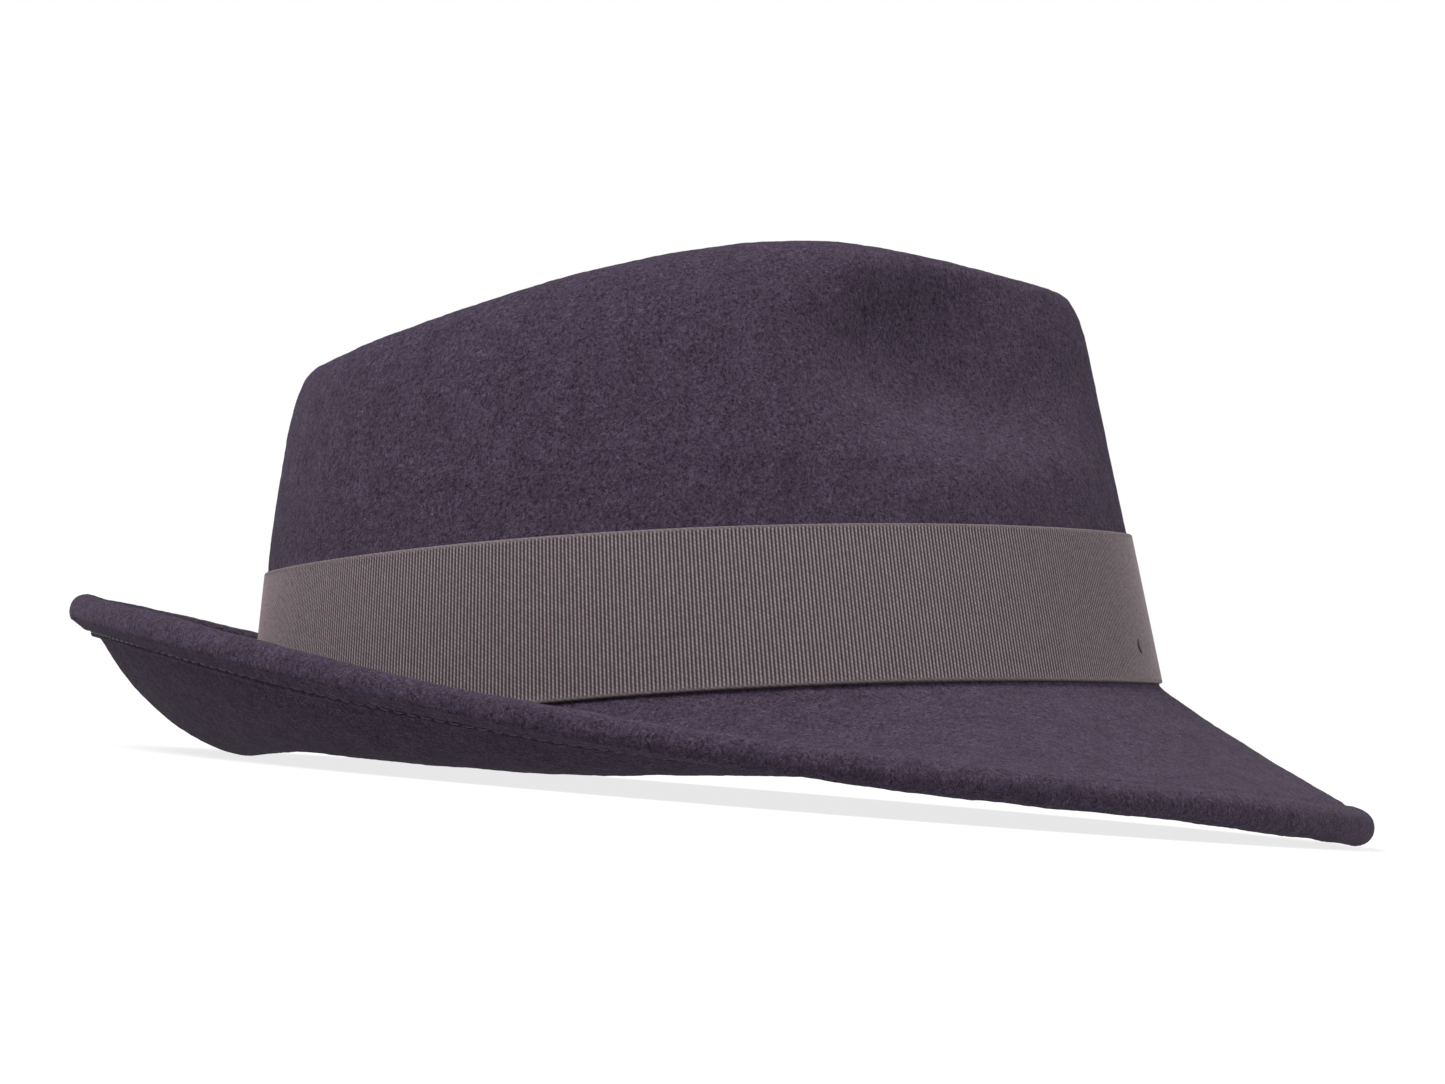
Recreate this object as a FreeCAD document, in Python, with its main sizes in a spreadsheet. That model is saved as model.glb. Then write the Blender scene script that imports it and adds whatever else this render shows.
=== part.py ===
"""Snap-brim fedora: a wool felt hood with a grosgrain band and side bow, a leather sweatband and a lining.

Hat frame, in millimetres: the origin is the centre of the head opening, +X is the front of the hat,
+Y the wearer's left and +Z up. The hat is set down on its brim, so every sub-part is turned about Y by
the small angle at which the brim rests on a table.

Most pieces follow the head's oval. A point of the felt is found from two numbers: the angle round the
oval (0 at the front, 90 degrees on the wearer's left, 180 at the back) and a station along the section,
which runs up the wall to the crown's ridge, over into the crease, or out along the brim.
"""
import FreeCAD, Part
import os
from math import cos, exp, hypot, pi, radians, sin
from FreeCAD import Placement, Rotation, Vector

doc = FreeCAD.newDocument("Fedora")

# ---------------------------------------------------------------- driving dimensions

DIMENSIONS = (
    ("HeadHalfLength", 104.0, "outside of the felt at the brim break, front to middle"),
    ("HeadHalfWidth", 87.0, "outside of the felt at the brim break, side to middle"),
    ("EggShape", 0.05, "share by which the oval is narrower in front and wider behind"),
    ("FeltThickness", 2.8, "one layer of felt"),
    ("BreakFront", 0.0, "height of the brim break in front"),
    ("BreakSide", 4.0, "height of the brim break at the sides"),
    ("BreakBack", -1.0, "height of the brim break behind"),
    ("RidgePeak", 103.5, "highest point of the crown"),
    ("RidgePeakX", 20.0, "how far that point lies in front of the middle"),
    ("RidgeRound", 38.0, "length over which the ridge rounds at its peak"),
    ("RidgeFallBack", 0.29, "slope of the ridge towards the back"),
    ("RidgeFallFront", 0.40, "slope of the ridge towards the front"),
    ("RidgeHalfLength", 78.0, "half length of the ridge's teardrop"),
    ("RidgeHalfWidth", 42.0, "half width of the ridge's teardrop"),
    ("RidgeShift", -1.0, "middle of the teardrop, in front of the head's middle"),
    ("Teardrop", 0.40, "share by which the teardrop narrows in front"),
    ("CreaseHalfLength", 45.0, "half length of the crease's floor"),
    ("CreaseShift", -5.0, "middle of the crease's floor"),
    ("CreaseHeight", 80.0, "height of the crease's floor"),
    ("PinchDepth", 0.24, "share of the width that the front pinches take"),
    ("PinchX", 76.0, "middle of a pinch, in front of the head's middle"),
    ("PinchZ", 88.0, "middle of a pinch, above the brim break"),
    ("PinchReachX", 46.0, "reach of a pinch along the hat"),
    ("PinchReachZ", 32.0, "reach of a pinch up and down"),
    ("WeltWidth", 9.5, "felt folded under at the brim's edge"),
    ("EdgeThickness", 7.0, "the round fold of the edge"),
    ("WeltThickness", 4.6, "the two layers where the folded one ends"),
    ("WeltSeam", 7.8, "seam of the welt, from the brim's edge"),
    ("BandThickness", 0.6, "grosgrain"),
    ("BandRise", 1.2, "height of the band's lower edge above the brim break"),
    ("BandTopFront", 35.0, "height of the band's upper edge in front"),
    ("BandTopSide", 40.0, "height of the band's upper edge at the sides"),
    ("BandTopBack", 37.5, "height of the band's upper edge behind"),
    ("LeatherThickness", 1.0, "sweatband"),
    ("SweatbandHeight", 38.0, "sweatband, from its lower to its upper edge"),
    ("SweatbandRise", 3.0, "height of the sweatband's lower edge above the brim break"),
    ("SweatbandSeam", 6.0, "height of the sweatband's seam above the brim break"),
    ("TapeHeight", 10.0, "cotton tape behind the sweatband's lower edge"),
    ("TapeRise", 1.0, "height of the tape's lower edge above the brim break"),
    ("ReedDiameter", 1.8, "plastic reed in the sweatband's lower edge"),
    ("SatinThickness", 0.4, "lining"),
    ("LiningRise", 14.0, "height of the lining's lower edge above the brim break"),
    ("LiningSeam", 0.86, "station of the wall where the lining's side meets its tip"),
    ("PipingRadius", 0.7, "cord in the lining's seam"),
    ("BowLength", 62.0, "side bow, along the band"),
    ("BowHeight", 33.0, "side bow, up the band"),
    ("KnotWidth", 13.0, "wrap round the middle of the bow"),
    ("LabelWidth", 32.0, "blank sewn label"),
    ("LabelHeight", 14.0, "blank sewn label"),
    ("TackHeight", 9.0, "height of the band's tacks above the brim break"),
    ("ThreadDiameter", 0.7, "sewing thread as it lies"),
    ("SnapLineX", 107.0, "line across the front brim about which it snaps"),
    ("SnapSlit", 0.4, "width left between the two sides of that line"),
    ("RestTilt", 8.0, "turn of the hat as it stands on its brim, in degrees"),
)

sheet = doc.addObject("Spreadsheet::Sheet", "Dimensions")
for row, (alias, value, meaning) in enumerate(DIMENSIONS, start=1):
    sheet.set(f"A{row}", alias)
    sheet.set(f"B{row}", str(value))
    sheet.set(f"C{row}", meaning)
    sheet.setAlias(f"B{row}", alias)
doc.recompute()


def size(alias):
    """A driving dimension, read from the sheet."""
    return float(sheet.get(alias))


# Slopes of the brim in degrees at the break and at the edge, from the front to the back in four equal
# turns round the oval, and how late along the brim the slope changes (front, side, back).
BRIM_SLOPE_BREAK = (-40, -33, -50, -36, -2)
BRIM_SLOPE_EDGE = (-30, -19, 39, 74, 71)
BRIM_SLOPE_LATE = (1.15, 1.08, 0.48)
BRIM_WIDTH = (58.2, 58.2, 52.0)

# How square the crown's corner is and how much of its taper lies in the wall: front, side, back.
CORNER_SQUARENESS = (9, 4, 4.6)
WALL_TAPER = (0.50, 0.50, 0.53)

# Stations close to the brim break, which keep the corner there sharp.
WALL_NEAR_BREAK = (0, 0.0035, 0.010, 0.022)
BRIM_NEAR_BREAK = (0.010, 0.030)

HALF_STATIONS = 36  # round half the oval
BRIM_STEPS = 24  # for summing the brim's slope into its shape
SMALL = 1e-4  # step for a surface's tangents
SEW_TOLERANCE = 0.02
REST = Placement(Vector(), Rotation(Vector(0, 1, 0), -size("RestTilt")))


# ---------------------------------------------------------------- the felt's surfaces


def around(values, angle):
    """A smooth value round the oval that takes each of the values at equal turns from front to back."""
    last = len(values) - 1
    total = 0.0
    for k in range(last + 1):
        share = 0.0
        for j, value in enumerate(values):
            share += value * cos(pi * j * k / last) * (0.5 if j in (0, last) else 1.0)
        total += share * cos(k * angle) * (0.5 if k in (0, last) else 1.0)
    return total * 2 / last


def break_height(angle):
    return around((size("BreakFront"), size("BreakSide"), size("BreakBack")), angle)


def head_oval(angle):
    """Point of the brim break in plan, and the outward direction there."""
    a, b, egg = size("HeadHalfLength"), size("HeadHalfWidth"), size("EggShape")
    point = Vector(a * cos(angle), b * sin(angle) * (1 - egg * cos(angle)), 0)
    outward = Vector(b * (cos(angle) - egg * cos(2 * angle)), a * sin(angle), 0)
    return point, outward.normalize()


def ridge(angle):
    """The crown's upper rim, a teardrop in plan that is highest a little in front of the middle."""
    x = size("RidgeShift") + size("RidgeHalfLength") * cos(angle)
    y = size("RidgeHalfWidth") * sin(angle) * (1 - size("Teardrop") * cos(angle))
    ahead = x - size("RidgePeakX")
    slope = size("RidgeFallFront") if ahead > 0 else size("RidgeFallBack")
    drop = hypot(ahead, size("RidgeRound")) - size("RidgeRound")
    return Vector(x, y, size("RidgePeak") - slope * drop)


def pinched(point):
    """The point moved inwards by the two front pinches."""
    along = (point.x - size("PinchX")) / size("PinchReachX")
    up = (point.z - size("PinchZ")) / size("PinchReachZ")
    share = size("PinchDepth") * exp(-((along * along + up * up) ** 2))
    return Vector(point.x, point.y * (1 - share), point.z)


def wall_point(angle, up, inward):
    """Wall point at shares of the ridge's height and of the way in to it."""
    foot, _ = head_oval(angle)
    foot.z = break_height(angle)
    top = ridge(angle)
    taper = around(WALL_TAPER, angle)
    share = taper * up + (1 - taper) * inward
    x = foot.x + (top.x - foot.x) * share
    y = foot.y + (top.y - foot.y) * share
    return pinched(Vector(x, y, foot.z + (top.z - foot.z) * up))


def wall(angle, station):
    """The crown from the brim break (0) up the wall, round the corner (a half) and in to the ridge (1)."""
    square = around(CORNER_SQUARENESS, angle)
    corner = 0.5 ** (1 / square)
    if station < 0.5:
        up = corner * 2 * station
        inward = 1 - (1 - up**square) ** (1 / square)
    else:
        inward = 1 - corner + corner * (2 * min(station, 1) - 1)
        up = (1 - (1 - inward) ** square) ** (1 / square)
    return wall_point(angle, up, inward)


def station_at(angle, height):
    """The station of the wall at a height."""
    low = break_height(angle)
    up = (height - low) / (ridge(angle).z - low)
    return up / 2 / 0.5 ** (1 / around(CORNER_SQUARENESS, angle))


def crease(angle, station):
    """The crown's top from the ridge (0) down to the crease's floor line (1)."""
    top = ridge(angle)
    floor_x = size("CreaseShift") + size("CreaseHalfLength") * cos(angle)
    fall = station * station * (3 - 2 * station)
    x = top.x + (floor_x - top.x) * station
    y = top.y * (1 - station)
    return pinched(Vector(x, y, top.z + (size("CreaseHeight") - top.z) * fall))


def brim(angle, station):
    """The brim's upper face from the break (0) to the edge (1), summed from its slope."""
    first = radians(around(BRIM_SLOPE_BREAK, angle))
    last = radians(around(BRIM_SLOPE_EDGE, angle))
    late = around(BRIM_SLOPE_LATE, angle)
    step = around(BRIM_WIDTH, angle) * station / BRIM_STEPS
    out, up = 0.0, break_height(angle)
    for i in range(BRIM_STEPS):
        slope = first + (last - first) * (station * (i + 0.5) / BRIM_STEPS) ** late
        out += step * cos(slope)
        up += step * sin(slope)
    point, outward = head_oval(angle)
    return point + outward * out + Vector(0, 0, up)


def inset(surface, angle, station, depth):
    """The point at a depth into the felt below a surface's outer face."""
    here = surface(angle, station)
    if depth == 0:
        return here
    if surface is crease and station == 1:
        return here + Vector(0, 0, -depth)
    low, high = max(station - SMALL, 0), min(station + SMALL, 1)
    round_hat = surface(angle + SMALL, station) - surface(angle - SMALL, station)
    up_section = surface(angle, high) - surface(angle, low)
    inward = up_section.cross(round_hat)
    if surface is brim:
        inward = inward * -1
    return here + inward.normalize() * depth


def row(surface, station, depth):
    """A line round the hat at one station and depth; the station may be a function of the angle."""

    def point(angle):
        at = station(angle) if callable(station) else station
        return inset(surface, angle, at, depth)

    return point


def brim_share(from_edge):
    """The brim's station at a distance from its edge."""
    return lambda angle: 1 - from_edge / around(BRIM_WIDTH, angle)


# ---------------------------------------------------------------- solids from lines round the hat


def clamped_knots(poles, degree):
    """Even knots and their multiplicities for a curve that starts and ends on its end poles."""
    spans = poles - degree
    return [i / spans for i in range(spans + 1)], [degree + 1] + [1] * (spans - 1) + [degree + 1]


def smooth_face(poles):
    """A smooth face over a grid of poles; neighbours that share a row of poles share an edge."""
    across, along = min(3, len(poles) - 1), min(3, len(poles[0]) - 1)
    across_knots, across_mults = clamped_knots(len(poles), across)
    along_knots, along_mults = clamped_knots(len(poles[0]), along)
    surface = Part.BSplineSurface()
    surface.buildFromPolesMultsKnots(
        poles, across_mults, along_mults, across_knots, along_knots, False, False, across, along
    )
    return surface.toShape()


def skin(rows, angles):
    """The smooth face that follows the rows between the angles."""
    return smooth_face([[line(angle) for angle in angles] for line in rows])


def solid_of(faces):
    """The closed solid that the faces enclose."""
    shell = Part.Compound(faces)
    shell.sewShape(SEW_TOLERANCE)
    shells = shell.Shells
    if len(shells) != 1 or not shells[0].isClosed():
        raise RuntimeError(f"open shell: {len(shells)} shells")
    solid = Part.Solid(shells[0])
    if solid.Volume < 0:
        solid.reverse()
    return solid


def ring(strips):
    """A closed piece that is the same on both sides: the strips' left half and its mirror image."""
    angles = [pi * i / HALF_STATIONS for i in range(HALF_STATIONS + 1)]
    half = [skin(rows, angles) for rows in strips]
    other = [face.mirror(Vector(), Vector(0, 1, 0)) for face in half]
    return solid_of(half + other)


def band(low, high, outer, inner, steps=6):
    """A strip that lies along the wall between two heights, from one depth to another."""

    def side(depth, upwards):
        shares = [i / steps for i in range(steps + 1)]
        rows = []
        for share in shares if upwards else reversed(shares):

            def at(angle, share=share):
                return station_at(angle, low(angle) + (high(angle) - low(angle)) * share)

            rows.append(row(wall, at, depth))
        return rows

    outside, inside = side(outer, True), side(inner, False)
    return [outside, [outside[-1], inside[0]], inside, [inside[-1], outside[0]]]


def cord(centre, radius, steps=8):
    """A round cord along a line round the hat."""

    def at(turn):
        def point(angle):
            middle = centre(angle)
            _, outward = head_oval(angle)
            return middle + outward * (radius * cos(turn)) + Vector(0, 0, radius * sin(turn))

        return point

    return [[at(2 * pi * i / steps + part) for i in range(steps // 2 + 1)] for part in (0, pi)]


def patch(first, last, low, high, outer, inner, steps=12):
    """A closed piece of a band between two angles."""
    angles = [first + (last - first) * i / steps for i in range(steps + 1)]
    outside, top, inside, bottom = band(low, high, outer, inner)
    faces = [skin(rows, angles) for rows in (outside, top, inside, bottom)]
    for angle in (first, last):
        face_side = [line(angle) for line in outside]
        back_side = [line(angle) for line in reversed(inside)]
        faces.append(smooth_face([face_side, back_side]))
    return solid_of(faces)


# ---------------------------------------------------------------- the pieces

FELT = size("FeltThickness")
AIR = 0.4  # between two layers that lie on each other
BAND_GAP = 0.3
LINING_DEPTH = FELT + AIR
LEATHER_DEPTH = LINING_DEPTH + size("SatinThickness") + AIR
LEATHER_FACE = LEATHER_DEPTH + size("LeatherThickness")
BAND_FACE = -BAND_GAP - size("BandThickness")
THREAD = size("ThreadDiameter")
THREAD_GAP = 0.3

BACK = pi
BOW_MIDDLE = radians(92)
LOOP_DEPTH = 2.0  # two folded loops on each other
KNOT_DEPTH = 1.4

pieces = []


def above_break(height):
    """A height measured from the brim break."""
    return lambda angle: break_height(angle) + height


def wall_row(height, depth):
    """A line round the wall at a height above the brim break."""
    return row(wall, lambda angle: station_at(angle, break_height(angle) + height), depth)


def band_top(angle):
    return around((size("BandTopFront"), size("BandTopSide"), size("BandTopBack")), angle)


def add_shape(label, shape):
    """A sub-part whose shape is worked out here."""
    piece = doc.addObject("Part::Feature", label)
    piece.Label = label
    piece.Shape = shape
    piece.Placement = REST
    pieces.append(piece)


def welt_thickness(from_edge):
    """The two layers together, thick at the fold and pressed thinner towards the raw edge."""
    fold = size("EdgeThickness")
    share = (from_edge - fold / 2) / (size("WeltWidth") - fold / 2)
    return fold + (size("WeltThickness") - fold) * share


def felt_strips():
    """Section of the hood: over the crown, out along the brim, round its fold and back inside."""
    fold = size("EdgeThickness") / 2
    welt = size("WeltWidth")
    outside = [row(crease, 1 - i / 12, 0) for i in range(12)]
    outside += [row(wall, 1 - i / 24, 0) for i in range(24)]
    outside += [row(wall, station, 0) for station in reversed(WALL_NEAR_BREAK)]
    outside += [row(brim, station, 0) for station in BRIM_NEAR_BREAK]
    outside += [row(brim, i / 16, 0) for i in range(1, 15)]
    edge = []
    for i in range(7):
        turn = pi * i / 6
        edge.append(row(brim, brim_share(fold - fold * sin(turn)), fold - fold * cos(turn)))
    outside.append(edge[0])
    welt_face = [edge[-1]]
    for i in range(1, 4):
        from_edge = fold + (welt - fold) * i / 3
        welt_face.append(row(brim, brim_share(from_edge), welt_thickness(from_edge)))
    raw_edge = row(brim, brim_share(welt), FELT)

    def under_brim(share):
        return lambda angle: (1 - welt / around(BRIM_WIDTH, angle)) * (1 - share)

    inside = [raw_edge] + [row(brim, under_brim(i / 12), FELT) for i in range(1, 12)]
    inside += [row(wall, station, FELT) for station in WALL_NEAR_BREAK[1:]]
    inside += [row(wall, i / 24, FELT) for i in range(1, 24)]
    inside += [row(crease, i / 12, FELT) for i in range(13)]
    return [outside, edge, welt_face, [welt_face[-1], raw_edge], inside]


def split_at_snap_line(shape):
    """The shape behind the brim's snap line, and in front of it."""
    reach = 400
    slit = size("SnapSlit") / 2
    corner = Vector(size("SnapLineX"), -reach / 2, -reach / 2)
    behind = Part.makeBox(reach, reach, reach, corner - Vector(reach + slit, 0, 0))
    ahead = Part.makeBox(reach, reach, reach, corner + Vector(slit, 0, 0))
    return shape.common(behind), shape.common(ahead)


def add_felt():
    hood, snap = split_at_snap_line(ring(felt_strips()))
    add_shape("felt_hood", hood)
    add_shape("front_brim", snap)


def add_welt_thread():
    """The seam that holds the folded edge, a flat line of thread on the welt's face."""
    start, end = size("WeltSeam") - THREAD / 2, size("WeltSeam") + THREAD / 2
    near = welt_thickness(start) + THREAD_GAP
    corners = [(start, near), (end, near), (end, near + THREAD), (start, near + THREAD)]
    rows = [row(brim, brim_share(from_edge), depth) for from_edge, depth in corners]
    rear, front = split_at_snap_line(ring([[rows[i - 1], rows[i]] for i in range(4)]))
    add_shape("welt_thread_rear", rear)
    add_shape("welt_thread_front", front)


def add_hat_band():
    strips = band(above_break(size("BandRise")), band_top, BAND_FACE, -BAND_GAP)
    add_shape("hat_band", ring(strips))


def add_on_band(label, half_turn, rise, height, near, thickness):
    """A layer of the bow, at a distance from the felt and as wide as twice its half turn."""
    first, last = BOW_MIDDLE - half_turn, BOW_MIDDLE + half_turn
    low, high = above_break(rise), above_break(rise + height)
    add_shape(label, patch(first, last, low, high, near - thickness, near))
    return near - thickness - AIR


def add_bow():
    """The bow on the wearer's left: a flat underlay, folded loops on it, and a wrap round the middle."""
    half_turn = size("BowLength") / 2 / size("HeadHalfLength")
    knot_turn = size("KnotWidth") / 2 / size("HeadHalfLength")
    height = size("BowHeight")
    rise = (size("BandTopSide") - size("BreakSide") - height) / 2
    underlay = BAND_FACE - AIR
    loops = add_on_band("bow_underlay", half_turn, rise, height, underlay, size("BandThickness"))
    knot = add_on_band("bow_loops", half_turn * 0.9, rise + 1, height - 2, loops, LOOP_DEPTH)
    add_on_band("bow_knot", knot_turn, rise, height, knot, KNOT_DEPTH)


def add_inside_patch(label, middle, half_turn, rise, height, near, far):
    """A small flat piece on the inside of the wall."""
    low, high = above_break(rise), above_break(rise + height)
    add_shape(label, patch(middle - half_turn, middle + half_turn, low, high, near, far, steps=6))


def add_sweatband():
    """Leather with a reed and a tape at its foot, a stitched seam and, behind, a small bow."""
    rise, height = size("SweatbandRise"), size("SweatbandHeight")
    leather = band(above_break(rise), above_break(rise + height), LEATHER_DEPTH, LEATHER_FACE)
    add_shape("sweatband", ring(leather))
    tape_low, tape_high = size("TapeRise"), size("TapeRise") + size("TapeHeight")
    tape = band(above_break(tape_low), above_break(tape_high), LINING_DEPTH, LEATHER_DEPTH - AIR)
    add_shape("reed_tape", ring(tape))
    radius = size("ReedDiameter") / 2
    reed_height = rise - radius - 0.7
    add_shape("sweatband_reed", ring(cord(wall_row(reed_height, LEATHER_DEPTH + radius), radius)))
    low, high = size("SweatbandSeam"), size("SweatbandSeam") + THREAD
    near = LEATHER_FACE + THREAD_GAP
    thread = band(above_break(low), above_break(high), near, near + THREAD, steps=1)
    add_shape("sweatband_thread", ring(thread))
    seam_turn = 1.0 / size("HeadHalfLength")
    near, far = LEATHER_FACE + THREAD_GAP, LEATHER_FACE + THREAD_GAP + THREAD / 2
    add_inside_patch("sweatband_back_seam", BACK, seam_turn, 8, height - 6, near, far)
    bow_turn = 11 / size("HeadHalfWidth")
    near, far = LEATHER_FACE + 1.0, LEATHER_FACE + 2.6
    add_inside_patch("sweatband_bow", BACK, bow_turn, 12.5, 9, near, far)


def add_lining():
    """Satin: a side band whose foot is held behind the sweatband, and a tip that follows the crown."""
    inner_depth = LINING_DEPTH + size("SatinThickness")
    seam = size("LiningSeam")
    start = above_break(size("LiningRise"))

    def up_side(share):
        return lambda angle: station_at(angle, start(angle)) * (1 - share) + seam * share

    shares = [i / 18 for i in range(19)]
    outer = [row(wall, up_side(share), LINING_DEPTH) for share in shares]
    inner = [row(wall, up_side(share), inner_depth) for share in reversed(shares)]
    add_shape("lining_side", ring([outer, [outer[-1], inner[0]], inner, [inner[-1], outer[0]]]))

    tip_start = seam + 0.01
    rim = [tip_start + (1 - tip_start) * i / 4 for i in range(5)]
    top = [i / 12 for i in range(1, 13)]
    over = [row(wall, at, LINING_DEPTH) for at in rim] + [row(crease, at, LINING_DEPTH) for at in top]
    under = [row(wall, at, inner_depth) for at in rim] + [row(crease, at, inner_depth) for at in top]
    add_shape("lining_tip", ring([over, under[::-1], [under[0], over[0]]]))

    radius = size("PipingRadius")
    piping = row(wall, seam, inner_depth + radius + AIR)
    add_shape("lining_piping", ring(cord(piping, radius)))


def add_labels():
    """Two blank woven labels at the back: one on the lining, one in the sweatband's upper edge."""
    sweatband_top = size("SweatbandRise") + size("SweatbandHeight")
    half_turn = size("LabelWidth") / 2 / size("HeadHalfWidth")
    near = LINING_DEPTH + size("SatinThickness") + AIR
    rise, height = sweatband_top + 2, size("LabelHeight")
    add_inside_patch("main_label", BACK, half_turn, rise, height, near, near + 0.4)
    near, far = LEATHER_FACE + AIR, LEATHER_FACE + AIR + 0.4
    add_inside_patch("size_label", BACK - 0.75, 0.05, sweatband_top - 5, 15, near, far)


def add_tacks():
    """Short curved stitches that hold the band: one near the front on the right, one behind."""
    line = wall_row(size("TackHeight"), BAND_FACE - THREAD / 2 - THREAD_GAP)
    for label, angle in (("band_tack_front", radians(-18)), ("band_tack_back", radians(196))):
        _, outward = head_oval(angle)
        tack = doc.addObject("Part::Torus", label)
        tack.Label = label
        tack.setExpression("Radius1", "Dimensions.ThreadDiameter * 2")
        tack.setExpression("Radius2", "Dimensions.ThreadDiameter / 2")
        tack.Angle3 = 230
        tack.Placement = REST * Placement(line(angle), Rotation(Vector(0, 0, 1), outward))
        pieces.append(tack)


add_felt()
add_welt_thread()
add_hat_band()
add_bow()
add_sweatband()
add_lining()
add_labels()
add_tacks()

# ---------------------------------------------------------------- checks and files

doc.recompute()
for thing in doc.Objects:
    if "Invalid" in thing.State or "Error" in thing.State:
        raise RuntimeError(f"{thing.Label} did not compute: {thing.State}")
os.makedirs("parts", exist_ok=True)
for piece in pieces:
    if piece.Shape.isNull() or not piece.Shape.isValid() or not piece.Shape.Solids:
        raise RuntimeError(f"{piece.Label} has no valid solid")
    piece.Shape.exportStep(os.path.join("parts", piece.Label + ".step"))
    box = piece.Shape.BoundBox
    spans = f"x {box.XMin:.1f} {box.XMax:.1f} y {box.YMin:.1f} {box.YMax:.1f} z {box.ZMin:.1f} {box.ZMax:.1f}"
    print(f"{piece.Label}: {len(piece.Shape.Solids)} solid, {piece.Shape.Volume / 1000:.2f} cm3, {spans}")
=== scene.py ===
"""Looks of a snap-brim felt fedora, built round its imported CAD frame.

Lengths in this script are millimetres in the hat's own frame: the origin is the centre of the head
opening, +X the front, +Y the wearer's left and +Z up along the crown. to_row() turns them into metres
in the row's frame, where the hat stands on its brim.
"""

import bmesh
import bpy
import numpy as np
from math import cos, pi, radians, sin
from mathutils import Matrix, Vector, noise


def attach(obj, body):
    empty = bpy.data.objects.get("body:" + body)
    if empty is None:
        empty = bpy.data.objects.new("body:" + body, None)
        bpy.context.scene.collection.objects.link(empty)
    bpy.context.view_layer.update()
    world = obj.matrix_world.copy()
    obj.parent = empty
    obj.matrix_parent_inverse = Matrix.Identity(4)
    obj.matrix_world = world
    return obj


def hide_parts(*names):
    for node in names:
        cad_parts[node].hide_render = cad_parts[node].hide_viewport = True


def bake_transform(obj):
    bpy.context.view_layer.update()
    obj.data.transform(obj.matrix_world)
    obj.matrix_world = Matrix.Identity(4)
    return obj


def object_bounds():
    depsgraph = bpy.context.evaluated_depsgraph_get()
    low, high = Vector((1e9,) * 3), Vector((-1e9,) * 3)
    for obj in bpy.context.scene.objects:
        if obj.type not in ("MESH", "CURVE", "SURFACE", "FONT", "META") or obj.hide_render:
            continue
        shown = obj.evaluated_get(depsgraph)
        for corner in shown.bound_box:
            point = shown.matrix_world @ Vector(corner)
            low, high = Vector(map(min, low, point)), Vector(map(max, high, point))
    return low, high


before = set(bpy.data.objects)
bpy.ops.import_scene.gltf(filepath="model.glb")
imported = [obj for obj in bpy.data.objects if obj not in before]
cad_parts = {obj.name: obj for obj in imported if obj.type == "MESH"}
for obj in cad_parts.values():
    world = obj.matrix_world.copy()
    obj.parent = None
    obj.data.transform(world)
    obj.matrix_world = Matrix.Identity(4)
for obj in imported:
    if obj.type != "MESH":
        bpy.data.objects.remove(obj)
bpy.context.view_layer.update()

# ---------------------------------------------------------------- dimensions of the hat

HEAD_HALF_LENGTH, HEAD_HALF_WIDTH, EGG = 104.0, 87.0, 0.05
FELT = 2.8
BREAK_HEIGHT = (0.0, 4.0, -1.0)  # front, side, back
BRIM_SLOPE_BREAK = (-40, -33, -50, -36, -2)  # degrees, front to back in four equal turns
BRIM_SLOPE_EDGE = (-30, -19, 39, 74, 71)
BRIM_SLOPE_LATE = (1.15, 1.08, 0.48)
BRIM_WIDTH = (58.2, 58.2, 52.0)
BRIM_STEPS = 24
RIDGE_PEAK, RIDGE_PEAK_X, RIDGE_ROUND = 103.5, 20.0, 38.0
RIDGE_FALL_BACK, RIDGE_FALL_FRONT = 0.29, 0.40
RIDGE_HALF_LENGTH, RIDGE_HALF_WIDTH, RIDGE_SHIFT, TEARDROP = 78.0, 42.0, -1.0, 0.40
CREASE_HALF_LENGTH, CREASE_SHIFT, CREASE_HEIGHT = 45.0, -5.0, 80.0
CORNER_SQUARENESS = (9, 4, 4.6)
WALL_TAPER = (0.50, 0.50, 0.53)
PINCH_DEPTH, PINCH_X, PINCH_Z, PINCH_REACH_X, PINCH_REACH_Z = 0.26, 76.0, 77.0, 42.0, 22.0
EDGE_RADIUS, WELT_WIDTH, WELT_THICKNESS, WELT_SEAM = 3.7, 9.5, 4.1, 7.8
BAND_TOP = (35.0, 40.0, 37.5)
BAND_THICKNESS, BAND_GAP = 0.6, 0.3
BAND_RIBS, RIB_PITCH, RIB_HEIGHT, WARP_PITCH = 740, 0.8, 0.26, 0.9
BOW_MIDDLE, BOW_HALF, BOW_HEIGHT, BOW_LOW = radians(92), 31.0, 33.0, 1.5
SATIN, LEATHER, AIR = 0.4, 1.0, 0.4
LINING_DEPTH = FELT + AIR
LEATHER_DEPTH = LINING_DEPTH + SATIN + AIR
LEATHER_FACE = LEATHER_DEPTH + LEATHER
SWEATBAND_HEIGHT, SWEATBAND_RISE = 38.0, 3
LINING_RISE, LINING_SEAM = 14, 0.86

REST_TILT = radians(8.0)
CEILING = 0.35  # brightness of the studio above its white walls
DETAIL = 1.0


def to_row(points):
    """Metres in the row's frame from millimetres in the hat's."""
    points = np.asarray(points, float) / 1000
    x = points[..., 0] * cos(REST_TILT) - points[..., 2] * sin(REST_TILT)
    z = points[..., 0] * sin(REST_TILT) + points[..., 2] * cos(REST_TILT)
    return np.stack([x, points[..., 1], z], -1)


# ---------------------------------------------------------------- the felt's surfaces


def around(values, angle):
    """A smooth value round the oval that takes each of the values at equal turns from front to back."""
    last = len(values) - 1
    total = 0 * angle
    for k in range(last + 1):
        share = sum(
            v * cos(pi * j * k / last) * (0.5 if j in (0, last) else 1) for j, v in enumerate(values)
        )
        total = total + share * np.cos(k * angle) * (0.5 if k in (0, last) else 1)
    return total * 2 / last


def unit(vectors):
    return vectors / np.maximum(np.linalg.norm(vectors, axis=-1, keepdims=True), 1e-12)


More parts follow.
